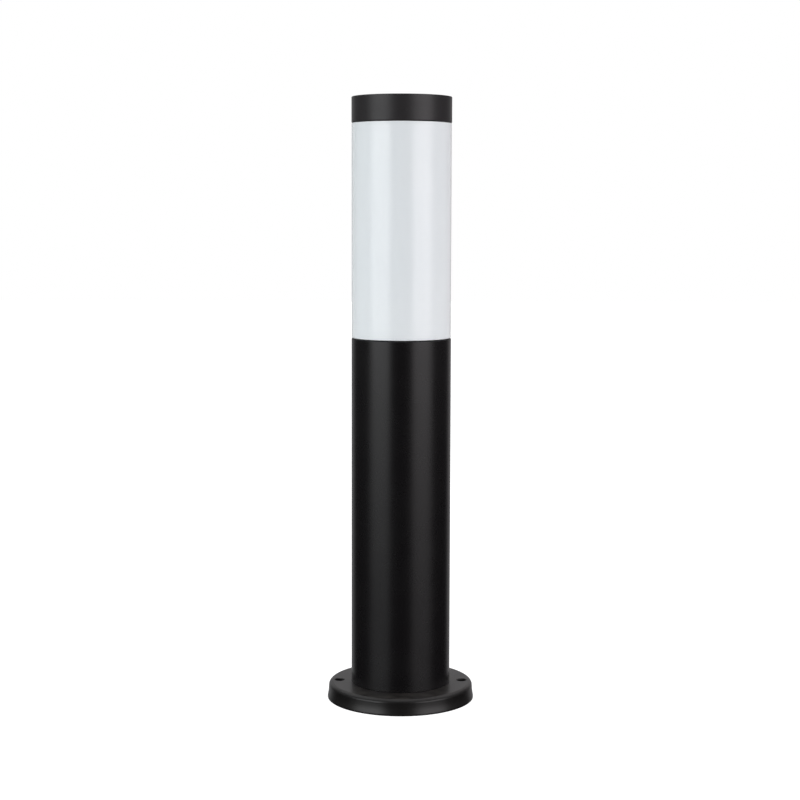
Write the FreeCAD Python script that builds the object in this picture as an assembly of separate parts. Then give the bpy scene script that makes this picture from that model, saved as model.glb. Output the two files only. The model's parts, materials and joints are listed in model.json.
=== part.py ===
import FreeCAD, Part
import math
import os

# Bollard light: a round base casting, an extruded post, an opal window and a flat cap,
# with a screw-in lamp inside. Millimetres. The axis is Z, the ground is z = 0, and the
# two fixing holes of the base lie on the X axis.

V = FreeCAD.Vector
UP = V(0, 0, 1)

# ---------------------------------------------------------------- driving dimensions
# Outside
total_height = 455.0
post_diameter = 75.0
window_step = 0.2  # the window's radius below the post's
window_height = 161.0  # between the post's top edge and the cap's lower edge
cap_height = 19.0
cap_edge_radius = 0.5

# Base casting
flange_reach = 18.2  # the foot's radius beyond the post's
flange_height = 12.4
skirt_flare = 0.9  # the foot's radius beyond the rim's
rim_drop = 3.6  # from the flange's top down to where the rim starts to flare
rim_roll_radius = 3.2
skirt_hollow = 0.2  # how far the skirt is dished inward of a straight line
skirt_foot = 1.2  # upright edge at the ground
skirt_wall = 3.0
top_plate = 3.2
foot_ring_overlap = 1.2  # the inner foot ring's radius beyond the post's
rib_count = 8
rib_width = 2.2
fixing_offset = 9.2  # the fixing holes' axes, outward of the post
fixing_hole_radius = 3.6
fixing_hole_chamfer = 0.6
fixing_boss_wall = 3.0
spigot_height = 15.0
spigot_wall = 4.0
floor_thickness = 4.0

# Post extrusion
tube_wall = 2.0
port_count = 3
port_wall = 2.0
port_inset = 8.0  # the screw ports' axes, inward of the tube's bore
port_web = 3.0
tube_edge = 0.3  # broken edge at the tube's ends

# O-ring round the spigot
o_ring_radius = 0.78
o_ring_groove_width = 2.2
o_ring_height = 7.5  # above the flange's top

# Fits
slip_gap = 0.10  # radial, pieces pushed together and glued or clamped
turn_gap = 0.30  # radial, pieces that turn on each other
thread_gap = 0.02  # radial, a screw in the hole that it bites
hole_gap = 0.25  # radial, a clearance hole round a screw
running_gap = 0.5  # beside and under the bayonet lugs

# Screws
m4_radius = 1.95
m4_head_radius = 3.5
m4_head_height = 2.4
port_grip = 12.0  # how deep the M4 screws go into the ports
m3_radius = 1.45
m3_head_radius = 2.75
m3_head_height = 1.9
slot_depth = 0.8
slot_half = 0.3  # half the width of a driver slot
drive_recess = 0.45  # the drive recess, as a share of the head's radius

# Cable gland
gland_thread_radius = 8.0
gland_across_flats = 20.0
gland_collar = 4.5
gland_neck_radius = 7.6
gland_neck_length = 7.0
gland_bore_radius = 5.0
gland_washer_radius = 10.6
gland_washer_thickness = 1.2
gland_locknut_height = 4.0
gland_thread_above_nut = 1.5
cable_radius = 4.0
gland_seal_wall = 1.9
gland_seal_length = 6.4
gland_nut_lip = 1.6
gland_nut_dome = 2.4
gland_nut_reach = 6.2  # how far the dome nut covers the neck

# Terminal bracket and block
sheet = 1.5
bracket_width = 34.0
bracket_foot = 10.0
bracket_rise = 46.0
bracket_clear = 1.0  # between the locknut's corners and the bracket
pole_pitch = 10.0
pole_offset = 10.0  # poles' axes, in front of the bracket
block_depth = 16.0
block_height = 17.0
block_drop = 1.0  # the block's top below the bracket's
sleeve_radius = 2.6
sleeve_bore = 1.5
sleeve_recess = 1.0
clamp_screw_radius = 1.2
clamp_screw_length = 4.5
clamp_screw_inset = 4.2  # clamp screws' axes, from the block's ends
earth_screw_x = 17.0

# Leads
lead_radius = 1.1
conductor_radius = 0.6
conductor_length = 8.0
lead_top_rise = 13.0  # the earth lead's loop above the block
earth_bend_low = 5.0
lead_bend = 40.0
lead_straight = 45.0  # straight run above the block
lead_cross = 60.0  # height over which the leads draw together
ring_terminal_thickness = 0.8
ring_terminal_barrel = 6.0
ring_terminal_wall = 0.5

# Bayonet ring at the post's top and the collar that turns in it
ring_height = 16.0
ring_floor = 2.0
ring_seat = 2.0  # the ring's floor, inward of the screw heads
ring_wall = 3.6
collar_wall = 2.5
collar_depth = 9.8  # below the post's top
collar_spigot_height = 12.0
lug_count = 3
lug_reach = 1.8
lug_height = 3.0
lug_angle = 12.0
lug_side_gap = 1.5  # degrees each side of a lug in its slot
lock_angle = 25.0

# Bulkhead plate under the lamp
bulkhead_thickness = 1.2
bulkhead_edge_gap = 1.0
grommet_bore = 6.2
grommet_wall = 1.3
grommet_lip = 1.2

# Lampholder
holder_rise = 8.0
holder_wall = 3.85
holder_step = 2.0  # the holder's lower part, beyond its upper part
holder_height = 41.6
holder_floor = 14.0
holder_lip = 1.5  # the ceramic above the shell's upper end
ledge_width = 1.2  # the ledge that the threaded shell stands on
ledge_drop = 0.5  # the ledge, below the lamp shell's lower end
holder_lead_x = 4.5
holder_screw_y = 7.5
holder_bracket_half = 14.0
holder_bracket_width = 20.0
holder_foot = 8.0
contact_gap = 0.15
contact_rise = 3.2
contact_width = 6.0
contact_sheet = 0.5
rivet_length = 4.0

# Lamp and its rolled thread
thread_pitch = 3.629
thread_throw = 0.54  # eccentricity of each section of the rolled thread
thread_radius = 12.59  # mean outside radius of the lamp's shell
thread_play = 0.20
thread_wall = 0.30
thread_steps = 12  # sections per turn
lamp_shell_start = 5.0
lamp_shell_length = 20.5
lamp_tip_radius = 4.8
lamp_tip_height = 1.4
insulator_lip = 0.6
insulator_drop = 0.2
insulator_plug = 2.5
lamp_length = 80.0
lamp_bulb_radius = 22.5
lamp_globe_wall = 1.2
lamp_globe_cut = 9.5  # the globe's lower edge, below its widest place
lamp_housing_wall = 1.6
lamp_housing_gap = 0.5
lamp_neck_length = 9.0
led_board_thickness = 1.5
led_count = 8
led_circle = 12.0
led_side = 2.8
led_height = 0.6

# Opal window and cap
window_wall = 2.8
window_top = 2.4
window_edge = 0.3
window_spigot_height = 8.0
head_seal_thickness = 0.8
head_seal_inset = 0.6
cap_seal_thickness = 0.6
cap_wall = 2.0
cap_top = 2.2
cap_boss_radius = 4.5
cap_boss_inset = 12.5  # the cap screws' axes, inward of the cap's bore
cap_screw_length = 9.0
washer_thickness = 0.8

# ---------------------------------------------------------------- places
post_radius = post_diameter / 2
post_top = total_height - cap_height - window_height
cap_bottom = total_height - cap_height
tube_bore = post_radius - tube_wall
port_circle = tube_bore - port_inset
port_bore = m4_radius + thread_gap
port_angles = [90 + i * 360 / port_count for i in range(port_count)]

spigot_radius = tube_bore - slip_gap
floor_top = flange_height + spigot_height
floor_bottom = floor_top - floor_thickness
hollow_top = flange_height - top_plate
spigot_bore = spigot_radius - spigot_wall
foot_ring_radius = post_radius + foot_ring_overlap
fixing_x = post_radius + fixing_offset

gland_hex_top = floor_bottom - gland_washer_thickness
gland_hex_bottom = gland_hex_top - gland_collar
gland_neck_bottom = gland_hex_bottom - gland_neck_length
gland_seal_radius = cable_radius + gland_seal_wall

bracket_front = gland_across_flats / 2 / math.cos(math.pi / 6) + bracket_clear
pole_y = bracket_front - pole_offset
bracket_top = floor_top + bracket_rise
block_top = bracket_top - block_drop
block_bottom = block_top - block_height
pole_x = [-pole_pitch, 0, pole_pitch]
sleeve_top = block_top - sleeve_recess
sleeve_bottom = block_bottom + sleeve_recess
clamp_z = [block_bottom + clamp_screw_inset, block_top - clamp_screw_inset]

ring_bottom = post_top - ring_height
ring_floor_top = ring_bottom + ring_floor
ring_bore = tube_bore - slip_gap - ring_wall
collar_radius = ring_bore - turn_gap
ring_floor_bore = port_circle - m4_head_radius - ring_seat
plate_top = ring_floor_top + bulkhead_thickness
collar_bottom = post_top - collar_depth
lug_radius = collar_radius + lug_reach
slot_radius = lug_radius + turn_gap
slot_floor = collar_bottom - running_gap
slot_roof = collar_bottom + lug_height + running_gap

holder_bottom = plate_top + holder_rise
holder_top = holder_bottom + holder_height
holder_cavity = holder_bottom + holder_floor
holder_bore = thread_radius + thread_play + thread_wall + thread_throw + thread_gap
holder_ledge = holder_bore - ledge_width
holder_radius = holder_bore + holder_wall + holder_step
lamp_neck_radius = thread_radius - thread_wall - thread_throw - thread_gap
insulator_radius = lamp_neck_radius - turn_gap
lamp_tip = holder_cavity + contact_rise + contact_gap
lamp_shell_bottom = lamp_tip + lamp_shell_start
lamp_shell_top = lamp_shell_bottom + lamp_shell_length
holder_shell_bottom = lamp_shell_bottom - ledge_drop
rivet_x = holder_ledge - contact_width / 2 - 1.0
rivet_bottom = holder_cavity - rivet_length
lamp_shoulder = lamp_shell_top + lamp_housing_gap
lamp_top = lamp_tip + lamp_length
globe_centre = lamp_top - lamp_bulb_radius
globe_bottom = globe_centre - lamp_globe_cut
globe_rim = math.sqrt(lamp_bulb_radius ** 2 - lamp_globe_cut ** 2)
board_top = globe_bottom - lamp_housing_gap
board_bottom = board_top - led_board_thickness

head_bottom = post_top + head_seal_thickness
window_radius = post_radius - window_step
window_bore = window_radius - window_wall
window_shoulder = cap_bottom - cap_seal_thickness
window_end = cap_bottom + window_spigot_height
cap_bore = post_radius - cap_wall
cap_boss_circle = cap_bore - cap_boss_inset
window_spigot_radius = cap_bore - slip_gap
cap_ceiling = total_height - cap_top


# ---------------------------------------------------------------- shapes
def cylinder(radius, low, high, x=0, y=0):
    return Part.makeCylinder(radius, high - low, V(x, y, low))


def ring(outer, inner, low, high, x=0, y=0):
    return cylinder(outer, low, high, x, y).cut(cylinder(inner, low, high, x, y))


def cone(low_radius, high_radius, low, high, x=0, y=0):
    return Part.makeCone(low_radius, high_radius, high - low, V(x, y, low))


def block(x0, x1, y0, y1, z0, z1):
    return Part.makeBox(x1 - x0, y1 - y0, z1 - z0, V(x0, y0, z0))


def rod_y(radius, y0, y1, x, z):
    """Cylinder along Y."""
    return Part.makeCylinder(radius, y1 - y0, V(x, y0, z), V(0, 1, 0))


def hexagon(across_flats, low, high, x=0, y=0):
    corner = across_flats / 2 / math.cos(math.pi / 6)
    turns = [math.radians(60 * i) for i in range(7)]
    points = [V(x + corner * math.cos(t), y + corner * math.sin(t), low) for t in turns]
    return Part.Face(Part.makePolygon(points)).extrude(UP * (high - low))


def line(a, b):
    """Straight edge of a profile, between (radius, z) points."""
    return Part.LineSegment(V(a[0], 0, a[1]), V(b[0], 0, b[1])).toShape()


def arc(a, middle, b):
    """Round edge of a profile, through three (radius, z) points."""
    return Part.Arc(V(a[0], 0, a[1]), V(middle[0], 0, middle[1]), V(b[0], 0, b[1])).toShape()


def polygon(points):
    """Edges of a closed profile of straight lines."""
    return [line(a, b) for a, b in zip(points, points[1:] + points[:1])]


def turned(edges):
    """Solid of revolution about Z of a closed profile."""
    face = Part.Face(Part.Wire(edges))
    return face.revolve(V(0, 0, 0), UP, 360)


def at_angle(shape, degrees):
    copy = shape.copy()
    copy.rotate(V(0, 0, 0), UP, degrees)
    return copy


def ports(shape):
    """Copies of a shape made on the +X axis, one at each screw port."""
    return [at_angle(shape, angle) for angle in port_angles]


def cut_all(shape, tools):
    for tool in tools:
        shape = shape.cut(tool)
    return shape


def screw(radius, head_radius, head_height, seat, length, x=0, y=0, head_up=True):
    """Pan head screw along Z, with a hexagon recess. seat is where the head bears."""
    way = 1 if head_up else -1
    shank = Part.makeCylinder(radius, length, V(x, y, seat), V(0, 0, -way))
    head = Part.makeCylinder(head_radius, head_height, V(x, y, seat), V(0, 0, way))
    top = seat + way * head_height
    rim = [edge for edge in head.Edges
           if abs(edge.BoundBox.ZMin - top) < 1e-6 and abs(edge.BoundBox.ZMax - top) < 1e-6]
    head = head.makeFillet(head_height * 0.35, rim)
    recess_low, recess_high = sorted((seat + way * head_height * 0.4, top))
    recess = hexagon(2 * head_radius * drive_recess, recess_low, recess_high, x, y)
    return shank.fuse(head).cut(recess).removeSplitter()


def rolled_face(radius, low, high):
    """Side of a rolled thread: circles whose centres go round a helix."""
    count = math.ceil((high - low) / thread_pitch * thread_steps)
    wires = []
    for i in range(count + 1):
        z = low + (high - low) * i / count
        turn = 2 * math.pi * z / thread_pitch
        centre = V(thread_throw * math.cos(turn), thread_throw * math.sin(turn), z)
        wires.append(Part.Wire([Part.Circle(centre, UP, radius).toShape()]))
    return Part.makeLoft(wires, False, False, False), wires[0], wires[-1]


def rolled_sleeve(outer_radius, low, high):
    """Thin sleeve with a rolled thread, open at both ends."""
    outside, outer_low, outer_high = rolled_face(outer_radius, low, high)
    inside, inner_low, inner_high = rolled_face(outer_radius - thread_wall, low, high)
    ends = [Part.Face(outer_low).cut(Part.Face(inner_low)).Faces[0],
            Part.Face(outer_high).cut(Part.Face(inner_high)).Faces[0]]
    shell = Part.makeShell(outside.Faces + inside.Faces + ends)
    shell.sewShape()
    solid = Part.makeSolid(shell)
    if solid.Volume < 0:
        solid.reverse()
    return solid


def lead(points, bends, bare_lengths, label):
    """Insulated lead along straight runs joined by tangent arcs, with bare ends."""
    edges = []
    start = points[0]
    for corner, after, bend in zip(points[1:-1], points[2:], bends):
        back = (start - corner).normalize()
        ahead = (after - corner).normalize()
        half = back.getAngle(ahead) / 2
        reach = bend / math.tan(half)
        middle = (back + ahead).normalize() * (bend / math.sin(half) - bend)
        first = corner + back * reach
        last = corner + ahead * reach
        edges.append(Part.LineSegment(start, first).toShape())
        edges.append(Part.Arc(first, corner + middle, last).toShape())
        start = last
    edges.append(Part.LineSegment(start, points[-1]).toShape())
    path = Part.Wire(edges)
    section = Part.Circle(points[0], points[1] - points[0], lead_radius).toShape()
    tube = path.makePipeShell([Part.Wire([section])], True, True)
    expected = math.pi * lead_radius ** 2 * path.Length
    print(label, "length", round(path.Length, 1), "bends", bends,
          "volume / (section x length)", round(tube.Volume / expected, 4))
    ends = ((points[0], points[1]), (points[-1], points[-2]))
    for (end, inner), length in zip(ends, bare_lengths):
        outward = (end - inner).normalize()
        tube = tube.fuse(Part.makeCylinder(conductor_radius, length, end, outward))
    return tube


# ---------------------------------------------------------------- base
def base_flange():
    bottom = post_radius + flange_reach
    rim = bottom - skirt_flare
    rim_low = flange_height - rim_drop
    roll = rim_roll_radius
    roll_start = flange_height - roll
    diagonal = roll * math.sqrt(0.5)
    skirt_middle = ((bottom + rim) / 2 - skirt_hollow, (skirt_foot + rim_low) / 2)
    roll_middle = (rim - roll + diagonal, roll_start + diagonal)
    inside = rim - skirt_wall
    outline = [
        line((spigot_bore, 0), (foot_ring_radius, 0)),
        line((foot_ring_radius, 0), (foot_ring_radius, hollow_top)),
        line((foot_ring_radius, hollow_top), (inside, hollow_top)),
        line((inside, hollow_top), (inside, 0)),
        line((inside, 0), (bottom, 0)),
        line((bottom, 0), (bottom, skirt_foot)),
        arc((bottom, skirt_foot), skirt_middle, (rim, rim_low)),
        line((rim, rim_low), (rim, roll_start)),
        arc((rim, roll_start), roll_middle, (rim - roll, flange_height)),
        line((rim - roll, flange_height), (spigot_radius, flange_height)),
        line((spigot_radius, flange_height), (spigot_radius, floor_top)),
        line((spigot_radius, floor_top), (spigot_bore, floor_top)),
        line((spigot_bore, floor_top), (spigot_bore, 0)),
    ]
    body = turned(outline).fuse(cylinder(spigot_bore, floor_bottom, floor_top))
    rib = block(foot_ring_radius - 1, inside + 1, -rib_width / 2, rib_width / 2, 1.0, hollow_top + 1)
    for i in range(rib_count):
        body = body.fuse(at_angle(rib, (i + 0.5) * 360 / rib_count))
    boss_radius = fixing_hole_radius + fixing_boss_wall
    room = cylinder((inside + rim) / 2, 0, flange_height)
    for x in (-fixing_x, fixing_x):
        boss = cylinder(boss_radius, 0, hollow_top + 1, x).common(room)
        body = body.fuse(boss)
    wide = fixing_hole_radius + fixing_hole_chamfer
    for x in (-fixing_x, fixing_x):
        body = body.cut(cylinder(fixing_hole_radius, -1, flange_height + 1, x))
        mouth = cone(fixing_hole_radius, wide, flange_height - fixing_hole_chamfer, flange_height, x)
        body = body.cut(mouth)
    groove_z = flange_height + o_ring_height
    groove = ring(spigot_radius + 1, tube_bore - 2 * o_ring_radius - slip_gap,
                  groove_z - o_ring_groove_width / 2, groove_z + o_ring_groove_width / 2)
    body = body.cut(groove)
    body = cut_all(body, ports(cylinder(m4_radius + hole_gap, floor_bottom, floor_top, port_circle)))
    body = body.cut(cylinder(gland_thread_radius + hole_gap, floor_bottom, floor_top))
    for x in bracket_screw_x():
        body = body.cut(cylinder(m3_radius + thread_gap, floor_bottom, floor_top, x, bracket_screw_y()))
    body = body.cut(cylinder(m3_radius + thread_gap, floor_bottom, floor_top, earth_screw_x, pole_y))
    return body.removeSplitter()


def spigot_o_ring():
    return Part.makeTorus(tube_bore - slip_gap / 2 - o_ring_radius, o_ring_radius,
                          V(0, 0, flange_height + o_ring_height))


def flange_screws():
    length = floor_thickness + port_grip
    one = screw(m4_radius, m4_head_radius, m4_head_height, floor_bottom, length, port_circle, 0, False)
    return Part.makeCompound(ports(one))


def post_tube():
    edge = tube_edge
    outline = polygon([(tube_bore, flange_height), (post_radius - edge, flange_height),
                       (post_radius, flange_height + edge), (post_radius, post_top - edge),
                       (post_radius - edge, post_top), (tube_bore, post_top)])
    tube = turned(outline)
    outer = port_bore + port_wall
    boss = cylinder(outer, floor_top, ring_bottom, port_circle)
    half_web = port_web / 2
    web = block(port_circle, tube_bore + tube_wall / 2, -half_web, half_web, floor_top, ring_bottom)
    for port in ports(boss.fuse(web)):
        tube = tube.fuse(port)
    tube = cut_all(tube, ports(cylinder(port_bore, floor_top, ring_bottom, port_circle)))
    return tube.removeSplitter()


# ---------------------------------------------------------------- cable gland
def gland_body():
    thread_top = floor_top + gland_locknut_height + gland_thread_above_nut
    body = cylinder(gland_thread_radius, gland_hex_top, thread_top)
    body = body.fuse(hexagon(gland_across_flats, gland_hex_bottom, gland_hex_top))
    body = body.fuse(cylinder(gland_neck_radius, gland_neck_bottom, gland_hex_bottom))
    body = body.cut(cylinder(gland_bore_radius, gland_neck_bottom, thread_top))
    pocket_top = gland_neck_bottom + gland_seal_length
    body = body.cut(cylinder(gland_seal_radius + slip_gap, gland_neck_bottom, pocket_top))
    return body.removeSplitter()


def gland_washer():
    return ring(gland_washer_radius, gland_thread_radius + slip_gap, gland_hex_top, floor_bottom)


def gland_locknut():
    top = floor_top + gland_locknut_height
    nut = hexagon(gland_across_flats, floor_top, top)
    return nut.cut(cylinder(gland_thread_radius + thread_gap, floor_top, top))


def gland_seal():
    return ring(gland_seal_radius, cable_radius, gland_neck_bottom, gland_neck_bottom + gland_seal_length)


def gland_dome_nut():
    top = gland_neck_bottom + gland_nut_reach
    low = gland_neck_bottom - gland_nut_lip
    nut = hexagon(gland_across_flats, low, top)
    corner = gland_across_flats / 2 / math.cos(math.pi / 6)
    dome = cone(corner - gland_nut_dome, corner + gland_nut_dome, low, low + 2 * gland_nut_dome)
    nut = nut.common(dome.fuse(cylinder(corner + 1, low + 2 * gland_nut_dome, top)))
    nut = nut.cut(cylinder(gland_neck_radius + slip_gap, gland_neck_bottom, top))
    return nut.cut(cylinder(cable_radius + hole_gap, low, gland_neck_bottom))


# ---------------------------------------------------------------- terminals
def bracket_screw_x():
    return (-bracket_width / 4, bracket_width / 4)


def bracket_screw_y():
    return bracket_front + sheet + m3_head_radius + hole_gap


def terminal_bracket():
    half = bracket_width / 2
    plate = block(-half, half, bracket_front, bracket_front + sheet, floor_top, bracket_top)
    foot = block(-half, half, bracket_front, bracket_front + bracket_foot, floor_top, floor_top + sheet)
    bracket = plate.fuse(foot)
    for x in bracket_screw_x():
        hole = cylinder(m3_radius + hole_gap, floor_top, floor_top + sheet, x, bracket_screw_y())
        bracket = bracket.cut(hole)
    for x in block_screw_x():
        hole = rod_y(m3_radius + thread_gap, bracket_front, bracket_front + sheet, x, block_screw_z())
        bracket = bracket.cut(hole)
    return bracket.removeSplitter()


def bracket_screws():
    return Part.makeCompound([
        screw(m3_radius, m3_head_radius, m3_head_height, floor_top + sheet, sheet + floor_thickness,
              x, bracket_screw_y()) for x in bracket_screw_x()])


def block_screw_x():
    return (-pole_pitch / 2, pole_pitch / 2)


def block_screw_z():
    return (block_top + block_bottom) / 2


def terminal_block():
    half = pole_pitch * 1.5
    body = block(-half, half, bracket_front - block_depth, bracket_front, block_bottom, block_top)
    front = bracket_front - block_depth
    for x in pole_x:
        body = body.cut(cylinder(sleeve_radius + slip_gap, sleeve_bottom, sleeve_top, x, pole_y))
        body = body.cut(cylinder(sleeve_bore + hole_gap, block_bottom, block_top, x, pole_y))
        for z in clamp_z:
            body = body.cut(rod_y(clamp_screw_radius + hole_gap, front, pole_y, x, z))
    for x in block_screw_x():
        body = body.cut(rod_y(m3_radius + hole_gap, front, bracket_front, x, block_screw_z()))
        counterbore = rod_y(m3_head_radius * 0.8, front, front + block_depth / 2, x, block_screw_z())
        body = body.cut(counterbore)
    return body.removeSplitter()


def terminal_sleeves():
    sleeves = []
    for x in pole_x:
        sleeve = ring(sleeve_radius, sleeve_bore, sleeve_bottom, sleeve_top, x, pole_y)
        for z in clamp_z:
            hole = rod_y(clamp_screw_radius + thread_gap, pole_y - sleeve_radius - 1, pole_y, x, z)
            sleeve = sleeve.cut(hole)
        sleeves.append(sleeve)
    return Part.makeCompound(sleeves)


def terminal_screws():
    tip = pole_y - conductor_radius
    tail = tip - clamp_screw_length
    radius = clamp_screw_radius
    screws = []
    for x in pole_x:
        for z in clamp_z:
            grub = rod_y(radius, tail, tip, x, z)
            slot = block(x - radius, x + radius, tail, tail + slot_depth, z - slot_half, z + slot_half)
            screws.append(grub.cut(slot))
    return Part.makeCompound(screws)


def block_screws():
    front = bracket_front - block_depth
    head_y = front + block_depth / 2
    head = m3_head_radius * 0.8 - slip_gap
    screws = []
    for x in block_screw_x():
        shank = rod_y(m3_radius, head_y, bracket_front + sheet, x, block_screw_z())
        cap = rod_y(head, head_y - m3_head_height, head_y, x, block_screw_z())
        top_y = head_y - m3_head_height
        slot = block(x - head, x + head, top_y, top_y + slot_depth,
                     block_screw_z() - slot_half, block_screw_z() + slot_half)
        screws.append(shank.fuse(cap).cut(slot).removeSplitter())
    return Part.makeCompound(screws)


def earth_terminal_z():
    return floor_top + conductor_radius + ring_terminal_thickness + ring_terminal_wall


def earth_screw():
    seat = floor_top + ring_terminal_thickness
    return screw(m3_radius, m3_head_radius, m3_head_height, seat,
                 ring_terminal_thickness + floor_thickness, earth_screw_x, pole_y)


def earth_ring_terminal():
    top = floor_top + ring_terminal_thickness
    eye = cylinder(m3_head_radius + 0.6, floor_top, top, earth_screw_x, pole_y)
    barrel_x = earth_screw_x + m3_head_radius + 1.2
    barrel_radius = conductor_radius + ring_terminal_wall + hole_gap
    tongue = block(earth_screw_x, barrel_x + ring_terminal_barrel, pole_y - barrel_radius,
                   pole_y + barrel_radius, floor_top, top)
    axis_z = earth_terminal_z()
    start = V(barrel_x, pole_y, axis_z)
    barrel = Part.makeCylinder(barrel_radius, ring_terminal_barrel, start, V(1, 0, 0))
    bore = Part.makeCylinder(conductor_radius + thread_gap, ring_terminal_barrel + 2,
                             V(barrel_x - 1, pole_y, axis_z), V(1, 0, 0))
    whole = eye.fuse(tongue).fuse(barrel).cut(bore)
    whole = whole.cut(cylinder(m3_radius + hole_gap, floor_top, top, earth_screw_x, pole_y))
    return whole.removeSplitter()


def earth_wire():
    axis_z = earth_terminal_z()
    barrel_end = earth_screw_x + m3_head_radius + 1.2 + ring_terminal_barrel
    loop_z = block_top + lead_top_rise
    out_x = barrel_end + earth_bend_low * 1.05
    points = [V(barrel_end, pole_y, axis_z), V(out_x, pole_y, axis_z), V(out_x, pole_y, loop_z),
              V(pole_x[2], pole_y, loop_z), V(pole_x[2], pole_y, sleeve_top)]
    bend_high = (out_x - pole_x[2]) * 0.48
    bends = [earth_bend_low, bend_high, bend_high]
    return lead(points, bends, [ring_terminal_barrel, conductor_length], "earth_wire")


def supply_lead(pole, holder_x, label):
    cross_low = block_top + lead_straight
    cross_high = cross_low + lead_cross
    points = [V(pole, pole_y, sleeve_top), V(pole, pole_y, cross_low), V(holder_x, 0, cross_high),
              V(holder_x, 0, holder_bottom)]
    return lead(points, [lead_bend, lead_bend], [conductor_length, conductor_length], label)


def live_wire():
    return supply_lead(pole_x[0], -holder_lead_x, "live_wire")


def neutral_wire():
    return supply_lead(pole_x[1], holder_lead_x, "neutral_wire")


# ---------------------------------------------------------------- post top
def wedge(radius, low, high, from_angle, to_angle):
    """Sector of a cylinder between two angles, in degrees."""
    sector = Part.makeCylinder(radius, high - low, V(0, 0, low), UP, to_angle - from_angle)
    return at_angle(sector, from_angle)


def socket_ring():
    body = ring(tube_bore - slip_gap, ring_bore, ring_bottom, post_top)
    body = body.fuse(ring(tube_bore - slip_gap, ring_floor_bore, ring_bottom, ring_floor_top))
    half = lug_angle / 2 + lug_side_gap
    for i in range(lug_count):
        middle = i * 360 / lug_count
        entry = wedge(slot_radius, slot_floor, post_top, middle - half, middle + half)
        run = wedge(slot_radius, slot_floor, slot_roof, middle - half - lock_angle, middle + half)
        body = body.cut(entry).cut(run)
    body = cut_all(body, ports(cylinder(m4_radius + hole_gap, ring_bottom, ring_floor_top, port_circle)))
    return body.removeSplitter()


def bulkhead():
    body = cylinder(ring_bore - bulkhead_edge_gap, ring_floor_top, plate_top)
    body = body.cut(cylinder(grommet_bore + grommet_wall, ring_floor_top, plate_top))
    body = cut_all(body, ports(cylinder(m4_radius + hole_gap, ring_floor_top, plate_top, port_circle)))
    for x in holder_foot_x():
        body = body.cut(cylinder(m3_radius + thread_gap, ring_floor_top, plate_top, x))
    return body.removeSplitter()


def socket_ring_screws():
    length = bulkhead_thickness + ring_floor + port_grip
    one = screw(m4_radius, m4_head_radius, m4_head_height, plate_top, length, port_circle)
    return Part.makeCompound(ports(one))


def wire_grommet():
    hole = grommet_bore + grommet_wall
    outer = hole + grommet_lip
    low = ring_floor_top
    outline = polygon([(grommet_bore, low - grommet_lip), (outer, low - grommet_lip), (outer, low),
                       (hole, low), (hole, plate_top), (outer, plate_top),
                       (outer, plate_top + grommet_lip), (grommet_bore, plate_top + grommet_lip)])
    return turned(outline)


# ---------------------------------------------------------------- lampholder
def holder_foot_x():
    middle = holder_bracket_half + holder_foot / 2 + contact_sheet
    return (-middle, middle)


def lampholder_bracket():
    half_y = holder_bracket_width / 2
    inner = holder_bracket_half
    outer = inner + bulkhead_thickness
    top_low = holder_bottom - bulkhead_thickness
    foot_top = plate_top + bulkhead_thickness
    body = block(-outer, outer, -half_y, half_y, top_low, holder_bottom)
    for side in (-1, 1):
        x0, x1 = sorted((side * inner, side * outer))
        body = body.fuse(block(x0, x1, -half_y, half_y, plate_top, holder_bottom))
        x0, x1 = sorted((side * inner, side * (inner + holder_foot + 1)))
        body = body.fuse(block(x0, x1, -half_y, half_y, plate_top, foot_top))
    for x in holder_foot_x():
        body = body.cut(cylinder(m3_radius + hole_gap, plate_top, foot_top, x))
    for x in (-holder_lead_x, holder_lead_x):
        body = body.cut(cylinder(lead_radius + hole_gap * 2, top_low, holder_bottom, x))
    for y in (-holder_screw_y, holder_screw_y):
        body = body.cut(cylinder(m3_radius + hole_gap, top_low, holder_bottom, 0, y))
    return body.removeSplitter()


def lampholder_bracket_screws():
    seat = plate_top + bulkhead_thickness
    return Part.makeCompound([
        screw(m3_radius, m3_head_radius, m3_head_height, seat, bulkhead_thickness * 3, x)
        for x in holder_foot_x()])


def lampholder_body():
    step = holder_step
    neck = holder_radius - step
    outline = polygon([(0, holder_bottom), (neck, holder_bottom), (holder_radius, holder_bottom + step),
                       (holder_radius, holder_cavity), (neck, holder_cavity + step),
                       (neck, holder_top), (holder_bore, holder_top),
                       (holder_bore, holder_shell_bottom), (holder_ledge, holder_shell_bottom),
                       (holder_ledge, holder_cavity), (0, holder_cavity)])
    body = turned(outline)
    for x in (-holder_lead_x, holder_lead_x):
        deep = holder_bottom + conductor_length + 1
        hole = cylinder(conductor_radius + hole_gap, holder_bottom, deep, x)
        body = body.cut(hole)
    for y in (-holder_screw_y, holder_screw_y):
        hole = cylinder(m3_radius + thread_gap, holder_bottom, holder_bottom + holder_floor * 0.6, 0, y)
        body = body.cut(hole)
    rivet = cylinder(m3_radius + thread_gap, rivet_bottom, holder_cavity, rivet_x)
    return body.cut(rivet).removeSplitter()


def lampholder_screws():
    length = bulkhead_thickness + holder_floor * 0.55
    seat = holder_bottom - bulkhead_thickness
    return Part.makeCompound([
        screw(m3_radius, m3_head_radius, m3_head_height, seat, length, 0, y, False)
        for y in (-holder_screw_y, holder_screw_y)])


def lampholder_shell():
    outer = thread_radius + thread_play + thread_wall
    return rolled_sleeve(outer, holder_shell_bottom, holder_top - holder_lip)


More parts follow.
